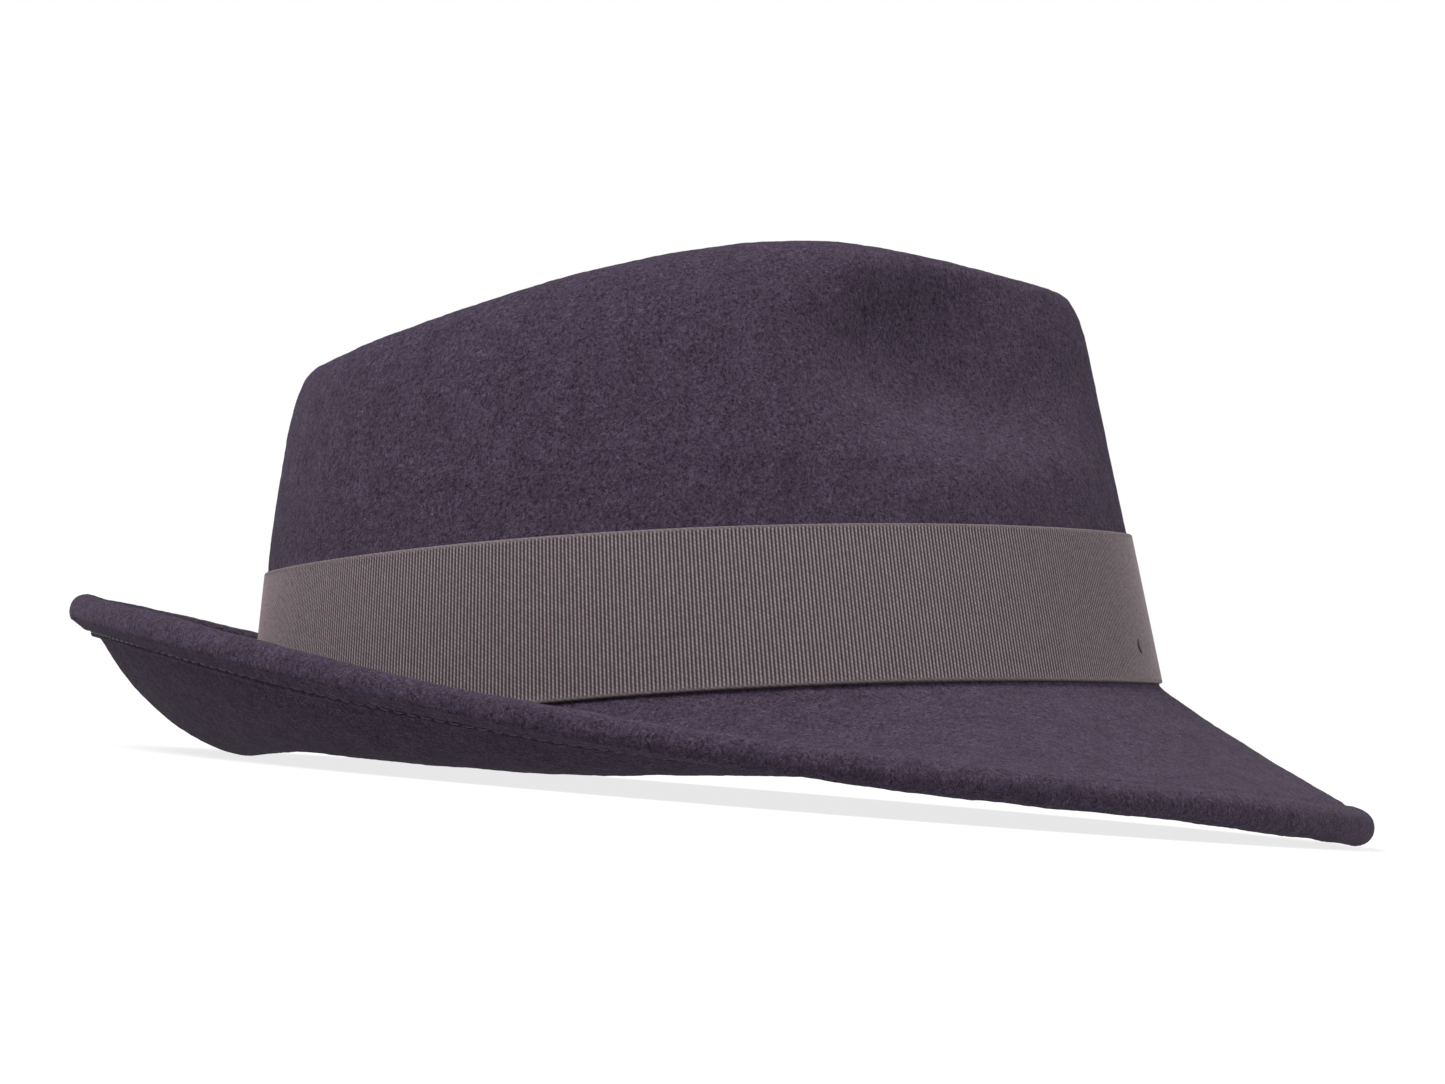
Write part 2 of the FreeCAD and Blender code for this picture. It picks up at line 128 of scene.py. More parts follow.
def join(x, y, z):
    return np.stack(np.broadcast_arrays(x, y, z), -1)


def break_height(angle):
    return around(BREAK_HEIGHT, angle)


def head_oval(angle):
    """The brim break in plan, and the outward direction there."""
    a, b = HEAD_HALF_LENGTH, HEAD_HALF_WIDTH
    point = join(a * np.cos(angle), b * np.sin(angle) * (1 - EGG * np.cos(angle)), 0 * angle)
    outward = join(b * (np.cos(angle) - EGG * np.cos(2 * angle)), a * np.sin(angle), 0 * angle)
    return point, unit(outward)


def ridge(angle):
    """The crown's upper rim: a teardrop in plan, highest a little in front of the middle."""
    x = RIDGE_SHIFT + RIDGE_HALF_LENGTH * np.cos(angle)
    y = RIDGE_HALF_WIDTH * np.sin(angle) * (1 - TEARDROP * np.cos(angle))
    ahead = x - RIDGE_PEAK_X
    slope = np.where(ahead > 0, RIDGE_FALL_FRONT, RIDGE_FALL_BACK)
    return join(x, y, RIDGE_PEAK - slope * (np.hypot(ahead, RIDGE_ROUND) - RIDGE_ROUND))


def pinched(x, y, z):
    """The points moved inwards by the two front pinches."""
    along, up = (x - PINCH_X) / PINCH_REACH_X, (z - PINCH_Z) / PINCH_REACH_Z
    return join(x, y * (1 - PINCH_DEPTH * np.exp(-((along * along + up * up) ** 2))), z)


def wall_point(angle, up, inward):
    """Wall points at shares of the ridge's height and of the way in to it."""
    foot, _ = head_oval(angle)
    top, low = ridge(angle), break_height(angle)
    taper = around(WALL_TAPER, angle)
    share = taper * up + (1 - taper) * inward
    x = foot[..., 0] + (top[..., 0] - foot[..., 0]) * share
    y = foot[..., 1] + (top[..., 1] - foot[..., 1]) * share
    return pinched(x, y, low + (top[..., 2] - low) * up)


def wall(angle, station):
    """The crown from the brim break (0) up the wall, round the corner (a half) and in to the ridge (1)."""
    square = around(CORNER_SQUARENESS, angle)
    corner = 0.5 ** (1 / square)
    rising = corner * 2 * np.minimum(station, 0.5)
    going_in = 1 - corner + corner * (2 * np.clip(station, 0.5, 1) - 1)
    up = np.where(station < 0.5, rising, (1 - (1 - going_in) ** square) ** (1 / square))
    inward = np.where(station < 0.5, 1 - (1 - rising**square) ** (1 / square), going_in)
    return wall_point(angle, up, inward)


def station_at(angle, height):
    """The wall's station at a height."""
    low = break_height(angle)
    up = (height - low) / (ridge(angle)[..., 2] - low)
    return up / 2 / 0.5 ** (1 / around(CORNER_SQUARENESS, angle))


def crease(angle, station):
    """The crown's top from the ridge (0) down to the crease's floor line (1)."""
    top = ridge(angle)
    floor_x = CREASE_SHIFT + CREASE_HALF_LENGTH * np.cos(angle)
    fall = station * station * (3 - 2 * station)
    x = top[..., 0] + (floor_x - top[..., 0]) * station
    return pinched(x, top[..., 1] * (1 - station), top[..., 2] + (CREASE_HEIGHT - top[..., 2]) * fall)


def brim(angle, station):
    """The brim's upper face from the break (0) to the edge (1), summed from its slope."""
    first = np.radians(around(BRIM_SLOPE_BREAK, angle))
    last = np.radians(around(BRIM_SLOPE_EDGE, angle))
    late = around(BRIM_SLOPE_LATE, angle)
    step = around(BRIM_WIDTH, angle) * station / BRIM_STEPS
    out, up = 0 * station * angle, break_height(angle) + 0 * station
    for i in range(BRIM_STEPS):
        slope = first + (last - first) * (station * (i + 0.5) / BRIM_STEPS) ** late
        out = out + step * np.cos(slope)
        up = up + step * np.sin(slope)
    point, outward = head_oval(angle)
    return join(point[..., 0] + outward[..., 0] * out, point[..., 1] + outward[..., 1] * out, up)


def outward_normal(surface, angle, station):
    small = 1e-4
    round_hat = surface(angle + small, station) - surface(angle - small, station)
    above, below = np.minimum(station + small, 1), np.maximum(station - small, 0)
    up_section = surface(angle, above) - surface(angle, below)
    normal = unit(np.cross(round_hat, up_section))
    return -normal if surface is brim else normal


def inset(surface, angle, station, depth):
    """Points at a depth into the felt below a surface's outer face; a negative depth stands proud."""
    station = np.asarray(station, float)
    normal = outward_normal(surface, angle, np.minimum(station, 0.995) if surface is crease else station)
    if surface is crease:
        normal = np.where((station + 0 * angle)[..., None] >= 1, np.array([0, 0, 1.0]), normal)
    return surface(angle, station) - normal * (np.asarray(depth) + 0 * angle * station)[..., None]


def turns(count):
    """Angles round the hat, one for each column."""
    return np.arange(count)[None, :] * 2 * pi / count


def stations(*values):
    return np.array(values, float)[:, None]


# ---------------------------------------------------------------- meshes from grids of points


def grid_object(name, points, close_rows=False, close_columns=True, zip_ends=False):
    """A mesh over rows and columns of points in the hat's frame.

    zip_ends joins the two sides of the first and the last row, which fold onto the middle plane."""
    rows, columns = points.shape[:2]
    index = np.arange(rows * columns).reshape(rows, columns)
    if zip_ends:
        for row in (0, -1):
            for j in range(1, (columns + 1) // 2):
                index[row, columns - j] = index[row, j]
    if close_rows:
        index = np.vstack([index, index[:1]])
    if close_columns:
        index = np.hstack([index, index[:, :1]])
    quads = np.stack([index[:-1, :-1], index[:-1, 1:], index[1:, 1:], index[1:, :-1]], -1).reshape(-1, 4)
    used, quads = np.unique(quads, return_inverse=True)
    quads = quads.reshape(-1, 4)
    mesh = bpy.data.meshes.new(name)
    mesh.from_pydata(to_row(points.reshape(-1, 3)[used]).tolist(), [], quads.tolist())
    mesh.validate()
    mesh.polygons.foreach_set("use_smooth", np.ones(len(mesh.polygons), bool))
    made = bpy.data.objects.new(name, mesh)
    bpy.context.collection.objects.link(made)
    face_outwards(made)
    return made


def face_outwards(made):
    """Turns the faces over if the closed mesh is inside out."""
    mesh = made.data
    points = np.empty(len(mesh.vertices) * 3)
    mesh.vertices.foreach_get("co", points)
    points = points.reshape(-1, 3)
    mesh.calc_loop_triangles()
    corners = np.empty(len(mesh.loop_triangles) * 3, np.int32)
    mesh.loop_triangles.foreach_get("vertices", corners)
    a, b, c = (points[corners.reshape(-1, 3)[:, k]] for k in range(3))
    if (a * np.cross(b, c)).sum() < 0:
        mesh.flip_normals()


def under_band(points):
    """Which points, in metres in the row's frame, lie on the wall under the band."""
    x = (points[:, 0] * cos(REST_TILT) + points[:, 2] * sin(REST_TILT)) * 1000
    z = (points[:, 2] * cos(REST_TILT) - points[:, 0] * sin(REST_TILT)) * 1000
    y = points[:, 1] * 1000
    angle = np.arctan2(y / HEAD_HALF_WIDTH, x / HEAD_HALF_LENGTH)
    within = (x / HEAD_HALF_LENGTH) ** 2 + (y / HEAD_HALF_WIDTH) ** 2 < 1.03
    return within & (z < around(BAND_TOP, angle) - 0.5)


def roughen(made, layers):
    """Moves each vertex along its normal by noise; a layer is (size of the lumps, height), in mm.

    The felt under the band is pressed smooth."""
    mesh = made.data
    count = len(mesh.vertices)
    points, normals = np.empty(count * 3), np.empty(count * 3)
    mesh.vertices.foreach_get("co", points)
    mesh.vertex_normals.foreach_get("vector", normals)
    points, normals = points.reshape(-1, 3), normals.reshape(-1, 3)
    rise = np.zeros(count)
    for lump, height in layers:
        scaled = points * (1000 / lump)
        rise += np.array([noise.noise(Vector(p)) for p in scaled]) * height / 1000
    rise *= np.where(under_band(points), 0.15, 1)
    mesh.vertices.foreach_set("co", (points + normals * rise[:, None]).ravel())
    mesh.update()


def paint(made, name, values):
    """Stores a value for each of the mesh's points, for its material to read."""
    attribute = made.data.attributes.new(name, "FLOAT", "POINT")
    attribute.data.foreach_set("value", np.asarray(values, np.float32).ravel())


def tube(line, radius, sides=8, closed=False):
    """Grid of points round a line of points."""
    line = np.asarray(line, float)
    ahead = np.roll(line, -1, 0) - np.roll(line, 1, 0)
    if not closed:
        ahead[0], ahead[-1] = line[1] - line[0], line[-1] - line[-2]
    ahead = unit(ahead)
    across = unit(np.cross(ahead, np.array([0.2, 0.1, 1.0])))
    over = np.cross(across, ahead)
    turn = np.arange(sides) * 2 * pi / sides
    radius = np.broadcast_to(radius, len(line))[:, None, None]
    ring = across[:, None] * np.cos(turn)[None, :, None] + over[:, None] * np.sin(turn)[None, :, None]
    return line[:, None] + ring * radius


def stitches(name, starts, ends, lift, radius=0.3):
    """Short rounded threads, each from a start to an end, arched by a lift vector."""
    shares = np.array([0, 0.12, 0.35, 0.65, 0.88, 1.0])
    thickness = radius * np.array([0.25, 0.8, 1, 1, 0.8, 0.25])
    vertices, faces = [], []
    for start, end, up in zip(starts, ends, lift):
        line = start + (end - start) * shares[:, None] + up * np.sin(pi * shares)[:, None]
        ring = tube(line, thickness, sides=6)
        base, (rows, sides) = len(vertices), ring.shape[:2]
        vertices += to_row(ring.reshape(-1, 3)).tolist()
        for i in range(rows - 1):
            for j in range(sides):
                k = (j + 1) % sides
                faces.append([base + i * sides + j, base + i * sides + k,
                              base + (i + 1) * sides + k, base + (i + 1) * sides + j])
        faces.append([base + j for j in reversed(range(sides))])
        faces.append([base + (rows - 1) * sides + j for j in range(sides)])
    mesh = bpy.data.meshes.new(name)
    mesh.from_pydata(vertices, [], faces)
    mesh.polygons.foreach_set("use_smooth", np.ones(len(mesh.polygons), bool))
    made = bpy.data.objects.new(name, mesh)
    bpy.context.collection.objects.link(made)
    face_outwards(made)
    return made


# ---------------------------------------------------------------- materials


class Shader:
    """A material's node tree with short ways to add and join nodes."""

    def __init__(self, name, **sockets):
        self.material = bpy.data.materials.new(name)
        self.material.use_nodes = True
        self.tree = self.material.node_tree
        self.surface = self.tree.nodes["Principled BSDF"]
        for socket, value in sockets.items():
            self.surface.inputs[socket.replace("_", " ")].default_value = value

    def node(self, kind, **settings):
        made = self.tree.nodes.new(kind)
        for setting, value in settings.items():
            setattr(made, setting, value)
        return made

    def link(self, source, target):
        self.tree.links.new(source, target)

    def place(self, scale=(1, 1, 1)):
        """Coordinates in metres on the object, stretched by a scale."""
        coordinates = self.node("ShaderNodeTexCoord")
        mapping = self.node("ShaderNodeMapping")
        mapping.inputs["Scale"].default_value = scale
        self.link(coordinates.outputs["Object"], mapping.inputs["Vector"])
        return mapping.outputs["Vector"]

    def noise(self, scale, detail=3.0, rough=0.6, stretch=(1, 1, 1), distortion=0.0):
        made = self.node("ShaderNodeTexNoise")
        made.inputs["Scale"].default_value = scale
        made.inputs["Detail"].default_value = detail
        made.inputs["Roughness"].default_value = rough
        made.inputs["Distortion"].default_value = distortion
        self.link(self.place(stretch), made.inputs["Vector"])
        return made.outputs["Fac"]

    def ramp(self, value, stops):
        """A colour ramp; stops are (place, colour)."""
        made = self.node("ShaderNodeValToRGB")
        elements = made.color_ramp.elements
        while len(elements) < len(stops):
            elements.new(0.5)
        for element, (at, colour) in zip(elements, stops):
            element.position = at
            element.color = (*colour, 1)
        self.link(value, made.inputs["Fac"])
        return made.outputs["Color"]

    def mix(self, kind, share, first, second):
        made = self.node("ShaderNodeMix", data_type="RGBA", blend_type=kind)
        made.inputs[0].default_value = share
        self.link(first, made.inputs[6])
        self.link(second, made.inputs[7])
        return made.outputs[2]

    def bump(self, height, distance, strength=1.0, below=None):
        made = self.node("ShaderNodeBump")
        made.inputs["Strength"].default_value = strength
        made.inputs["Distance"].default_value = distance
        self.link(height, made.inputs["Height"])
        if below is not None:
            self.link(below, made.inputs["Normal"])
        return made.outputs["Normal"]

    def finish(self, colour=None, normal=None):
        if colour is not None:
            self.link(colour, self.surface.inputs["Base Color"])
        if normal is not None:
            self.link(normal, self.surface.inputs["Normal"])
        return self.material


def felt_material():
    """Matted plum-grey wool: mottled, with short paler fibres over a darker ground."""
    felt = Shader("wool_felt", Roughness=0.95, Sheen_Weight=0.04, Sheen_Roughness=0.5,
                  Sheen_Tint=(0.86, 0.70, 0.88, 1), Specular_IOR_Level=0.06)
    mottle = felt.ramp(felt.noise(170, 4, 0.65),
                       [(0.32, (0.0246, 0.0184, 0.0294)), (0.70, (0.0348, 0.0267, 0.0405))])
    fibre = felt.ramp(felt.noise(1450, 5, 0.85, (1, 1, 0.7), 0.9),
                      [(0.38, (0.30, 0.29, 0.31)), (0.64, (2.0, 1.9, 2.0))])
    hairs = felt.ramp(felt.noise(1700, 2, 0.7, (0.35, 0.35, 1), 2.2),
                      [(0.62, (1, 1, 1)), (0.72, (2.1, 2.0, 2.1))])
    colour = felt.mix("MULTIPLY", 1.0, felt.mix("MULTIPLY", 1.0, mottle, fibre), hairs)
    coarse = felt.bump(felt.noise(620, 4, 0.75, (1, 1, 0.8), 1.0), 0.0014, 0.8)
    fine = felt.bump(felt.noise(1900, 2, 0.7, (1, 1, 0.7), 0.5), 0.0005, 0.7, coarse)
    return felt.finish(colour, fine)


def grosgrain_material():
    """Mauve-grey ribbon; its ribs are in the mesh, and the warp threads that bead them are here. Its colour
    also carries painted shade in the grooves between the ribs and a painted highlight on their crests.
    """
    ribbon = Shader("grosgrain", Roughness=0.66, Sheen_Weight=0.10, Sheen_Roughness=0.4,
                    Sheen_Tint=(0.95, 0.82, 0.86, 1), Specular_IOR_Level=0.25)
    rib = ribbon.node("ShaderNodeAttribute", attribute_name="rib")
    # painted shade and highlight: the ribbon's colour runs from dark in the grooves between the ribs to light
    # on the rib crests, by rib height
    tone = ribbon.ramp(rib.outputs["Fac"], [(0.18, (0.017, 0.0120, 0.0145)), (0.58, (0.071, 0.0550, 0.0600)),
                                            (0.92, (0.168, 0.1350, 0.1440))])
    weft = ribbon.node("ShaderNodeAttribute", attribute_name="weft")
    wave = ribbon.node("ShaderNodeMath", operation="SINE")
    ribbon.link(weft.outputs["Fac"], wave.inputs[0])
    beads = ribbon.ramp(wave.outputs["Value"], [(0.0, (0.80, 0.78, 0.79)), (0.7, (1.12, 1.12, 1.12))])
    cloudy = ribbon.ramp(ribbon.noise(900, 3, 0.65, (1, 1, 1.4)),
                         [(0.3, (0.74, 0.72, 0.73)), (0.7, (1.22, 1.22, 1.22))])
    colour = ribbon.mix("MULTIPLY", 1.0, ribbon.mix("MULTIPLY", 1.0, tone, beads), cloudy)
    normal = ribbon.bump(ribbon.noise(1900, 2, 0.6, (1, 1, 1.8)), 0.00015, 0.6)
    return ribbon.finish(colour, normal)


def plain_cloth(name, colour, rough, sheen, scale, bump):
    cloth = Shader(name, Roughness=rough, Sheen_Weight=sheen, Specular_IOR_Level=0.3)
    darker, lighter = [tuple(c * k for c in colour) for k in (0.82, 1.15)]
    tone = cloth.ramp(cloth.noise(scale / 8, 3, 0.6), [(0.3, darker), (0.7, lighter)])
    return cloth.finish(tone, cloth.bump(cloth.noise(scale, 2, 0.6), bump, 0.5))


def satin_material():
    """Lining satin, with a soft directional gloss."""
    satin = Shader("lining_satin", Roughness=0.34, Anisotropic=0.55, Sheen_Weight=0.2,
                   Specular_IOR_Level=0.55)
    tone = satin.ramp(satin.noise(40, 2, 0.5), [(0.3, (0.105, 0.080, 0.098)), (0.7, (0.130, 0.100, 0.120))])
    return satin.finish(tone, satin.bump(satin.noise(2600, 2, 0.5, (1, 1, 0.15)), 0.00004, 0.5))


def leather_material():
    """Dark brown sweatband leather with fine pores."""
    leather = Shader("sweatband_leather", Roughness=0.48, Specular_IOR_Level=0.45)
    tone = leather.ramp(leather.noise(90, 5, 0.6),
                        [(0.3, (0.050, 0.028, 0.022)), (0.7, (0.078, 0.046, 0.036))])
    pores = leather.node("ShaderNodeTexVoronoi")
    pores.inputs["Scale"].default_value = 1100
    leather.link(leather.place(), pores.inputs["Vector"])
    return leather.finish(tone, leather.bump(pores.outputs["Distance"], 0.00018, 0.45))


MATERIALS = {
    "wool_felt": felt_material(),
    "grosgrain": grosgrain_material(),
    "lining_satin": satin_material(),
    "sweatband_leather": leather_material(),
    "felt_thread": plain_cloth("felt_thread", (0.030, 0.024, 0.036), 0.8, 0.2, 2400, 0.0002),
    "band_thread": plain_cloth("band_thread", (0.042, 0.030, 0.036), 0.8, 0.2, 2400, 0.0002),
    "reed_tape_cotton": plain_cloth("reed_tape_cotton", (0.075, 0.062, 0.068), 0.85, 0.2, 1600, 0.0002),
    "reed_plastic": plain_cloth("reed_plastic", (0.11, 0.095, 0.09), 0.45, 0.0, 300, 0.00002),
    "label_satin": plain_cloth("label_satin", (0.52, 0.47, 0.42), 0.5, 0.15, 2000, 0.0001),
}


def placed(made, slot, nodes, body="hood"):
    """Gives a piece its finish, hides the CAD nodes it stands for and hangs it on the body it rides on; a
    piece on the brim is baked in place instead and hangs on no body.
    """
    made.data.materials.clear()
    made.data.materials.append(MATERIALS[slot])
    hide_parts(*nodes)
    if body == "brim":
        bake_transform(made)
    else:
        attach(made, body)
    return made


# ---------------------------------------------------------------- felt


def edge_swell(from_edge):
    """How far the brim's upper face rises over its fold, and dips where the seam draws it in."""
    rise = 0.55 * np.exp(-(((from_edge - 4.2) / 2.4) ** 2))
    return rise - 0.32 * np.exp(-(((from_edge - WELT_SEAM - 0.3) / 0.9) ** 2))


def welt_depth(from_edge, angle):
    """How far the brim's underside lies below its plain upper face, at a distance from the edge."""
    fold = 2 * EDGE_RADIUS - edge_swell(EDGE_RADIUS)
    share = np.clip((from_edge - EDGE_RADIUS) / (WELT_WIDTH - EDGE_RADIUS), 0, 1)
    raw_edge = WELT_WIDTH + 0.25 * np.sin(23 * angle) * np.sin(7 * angle + 1)
    doubled = 1 / (1 + np.exp((from_edge - raw_edge) / 0.3))
    groove = 0.95 * np.exp(-(((from_edge - WELT_SEAM) / 0.5) ** 2))
    return FELT + (fold + (WELT_THICKNESS - fold) * share**0.8 - FELT - groove) * doubled


def felt_points(columns):
    """The whole section of the hood: crown, brim, folded edge, underside and inside."""
    angle = turns(columns)
    width = around(BRIM_WIDTH, angle)
    crown_rows, crease_rows, brim_rows = int(100 * DETAIL), int(36 * DETAIL), int(42 * DETAIL)
    crease_at = np.linspace(1, 0, crease_rows, endpoint=False)[:, None]
    wall_at = np.linspace(1, 0, crown_rows, endpoint=False)[:, None]
    brim_at = np.linspace(0, 1, brim_rows, endpoint=False)[:, None] * (1 - 12 / width)
    fine = 0.45 / DETAIL
    near_edge = np.arange(12, EDGE_RADIUS + fine / 2, -fine)[:, None]
    top_edge = inset(brim, angle, 1 - near_edge / width, -edge_swell(near_edge))
    outside = np.vstack([crease(angle, crease_at), wall(angle, wall_at), brim(angle, brim_at)])
    corner = crease_rows + crown_rows
    eased = outside.copy()
    eased[corner] = (outside[corner - 1] + 4 * outside[corner] + outside[corner + 1]) / 6
    turn = np.linspace(0, pi, 15)[:, None]
    fold_depth = EDGE_RADIUS - EDGE_RADIUS * np.cos(turn) - edge_swell(EDGE_RADIUS)
    fold = inset(brim, angle, 1 - (EDGE_RADIUS - EDGE_RADIUS * np.sin(turn)) / width, fold_depth)
    stitched = np.arange(WELT_SEAM - 1.2, WELT_WIDTH + 1.2, 0.2)
    from_edge = np.concatenate([np.linspace(EDGE_RADIUS + 0.5, WELT_SEAM - 1.5, 5), stitched])[:, None]
    welt = inset(brim, angle, 1 - from_edge / width, welt_depth(from_edge, angle))
    inner = np.linspace(1, 0, brim_rows)[:, None] * (1 - (WELT_WIDTH + 1.6) / width)
    under = inset(brim, angle, inner, FELT)
    at_break = break_point(angle)
    down = unit(under[-1] - at_break)
    inside_wall = inset(wall, angle, wall_at[::-1], FELT)
    inwards = unit(inset(wall, angle, stations(0), FELT)[0] - at_break)
    bend = np.stack([at_break + FELT * unit(down * (1 - s) + inwards * s) for s in (0.25, 0.5, 0.75, 1)])
    inside_crease = inset(crease, angle, np.linspace(0, 1, crease_rows)[:, None], FELT)
    return np.vstack([eased, top_edge, fold, welt, under, bend, inside_wall, inside_crease])


def break_point(angle):
    return brim(angle, stations(0))[0]


def make_felt():
    felt = grid_object("felt", felt_points(int(900 * DETAIL)), zip_ends=True)
    roughen(felt, [(38, 0.55), (11, 0.22), (2.6, 0.11), (1.1, 0.07)])
    placed(felt, "wool_felt", ["felt_hood", "front_brim"], "brim")


def make_welt_stitches():
    """The seam's visible stitches, sunk in the welt's groove."""
    pitch, length = 3.2, 2.3
    fine = turns(4000)
    seam = inset(brim, fine, 1 - WELT_SEAM / around(BRIM_WIDTH, fine), welt_depth(WELT_SEAM, fine) + 0.12)[0]
    along = np.concatenate([[0], np.cumsum(np.linalg.norm(np.diff(seam, axis=0), axis=1))])
    count = int(along[-1] / pitch)
    begin = np.arange(count) * along[-1] / count
    starts = np.stack([np.interp(begin, along, seam[:, k]) for k in range(3)], -1)
    ends = np.stack([np.interp(begin + length, along, seam[:, k]) for k in range(3)], -1)
    lift = np.tile([0, 0, -0.12], (count, 1))
    made = stitches("welt_stitches", starts, ends, lift, 0.28)
    placed(made, "felt_thread", ["welt_thread_rear", "welt_thread_front"], "brim")


# ---------------------------------------------------------------- band and bow


def weft_phase(length, up):
    """The phase of the beads that the warp threads make on the ribs, half a turn on from rib to rib."""
    return 2 * pi * up / WARP_PITCH + pi * length / RIB_PITCH


def rib_profile(length):
    """How high a grosgrain rib stands along the ribbon, from 0 between two ribs to 1."""
    return 0.5 + 0.5 * np.cos(2 * pi * length / RIB_PITCH)


def make_band():
    """The band: ribs across it, a thin selvedge at each edge, drawn tight round the crown."""
    columns = BAND_RIBS * 6
    angle = turns(columns)
    length = np.arange(columns)[None, :] * BAND_RIBS * RIB_PITCH / columns
    top, low = around(BAND_TOP, angle), break_height(angle) + 0.7
    lower, upper = (0, 0.004, 0.012, 0.03, 0.06), (0.94, 0.97, 0.988, 0.996, 1)
    shares = np.array([*lower, *np.linspace(0.12, 0.88, 15), *upper])[:, None]
    edge = np.minimum(shares, 1 - shares) * 38
    ribbed = 1 / (1 + np.exp(-(edge - 0.8) / 0.12))
    selvedge = 0.10 * np.exp(-(((edge - 0.45) / 0.3) ** 2))
    slack = 0.10 * np.sin(3 * angle + 1) + 0.08 * np.sin(5 * angle)
    ribs_up = rib_profile(length) * ribbed + 0.6 * (1 - ribbed)
    lift = BAND_GAP + slack * shares + BAND_THICKNESS + RIB_HEIGHT * (ribs_up - 1) + selvedge
    lift = lift - 0.2 * np.exp(-edge / 0.12)
    face = inset(wall, angle, station_at(angle, low + (top - low) * shares), -lift)
    back_shares = np.linspace(1, 0, 5)[:, None]
    back = inset(wall, angle, station_at(angle, low + (top - low) * back_shares), -0.12 + 0 * angle)
    band = grid_object("ribbon_band", np.vstack([face, back]), close_rows=True)
    paint(band, "rib", np.vstack([ribs_up, np.full((len(back), columns), 0.6)]))
    up = np.vstack([(top - low) * shares, (top - low) * back_shares])
    paint(band, "weft", weft_phase(length, up))
    placed(band, "grosgrain", ["hat_band"])


def on_band(along, up, out):
    """Points on the band's face: along the ribbon from the bow's middle, up it, and out from the felt."""
    angle = BOW_MIDDLE + along / HEAD_HALF_LENGTH
    return inset(wall, angle, station_at(angle, break_height(angle) + up), -out)


def ribbon_piece(name, path_along, path_out, low, high, thickness=0.5):
    """A ribbon that follows a path in plan, between heights that may change along it."""
    path_along, path_out = np.asarray(path_along, float), np.asarray(path_out, float)
    step_a, step_o = np.gradient(path_along), np.gradient(path_out)
    size = np.hypot(step_a, step_o)
    length = np.cumsum(size)
    normal_a, normal_o = -step_o / size, step_a / size
    rib = rib_profile(length)
    shares = np.array([0, 0.01, 0.03, *np.linspace(0.1, 0.9, 9), 0.97, 0.99, 1])
    low, high = np.broadcast_to(low, len(length)), np.broadcast_to(high, len(length))
    rows, phases = [], []
    for side, picked in ((1, shares), (-1, shares[::-1])):
        for share in picked:
            edge = min(share, 1 - share) * 33
            rise = side * (thickness / 2 + rib * (RIB_HEIGHT if edge > 0.8 else 0) / 2)
            up = low + (high - low) * share
            rows.append(on_band(path_along + normal_a * rise, up, path_out + normal_o * rise))
            phases.append(weft_phase(length, up))
    points = np.stack(rows)
    made = grid_object(name, points, close_rows=True, close_columns=False)
    paint(made, "rib", np.tile(rib, len(rows)))
    paint(made, "weft", np.stack(phases))
    cap_ends(made)
    return made


def cap_ends(made):
    """Closes the two open ends of a strip."""
    shell = bmesh.new()
    shell.from_mesh(made.data)
    bmesh.ops.holes_fill(shell, edges=[e for e in shell.edges if e.is_boundary], sides=0)
    bmesh.ops.triangulate(shell, faces=[f for f in shell.faces if len(f.verts) > 4])
    bmesh.ops.recalc_face_normals(shell, faces=shell.faces)
    shell.to_mesh(made.data)
    shell.free()
    made.data.polygons.foreach_set("use_smooth", np.ones(len(made.data.polygons), bool))


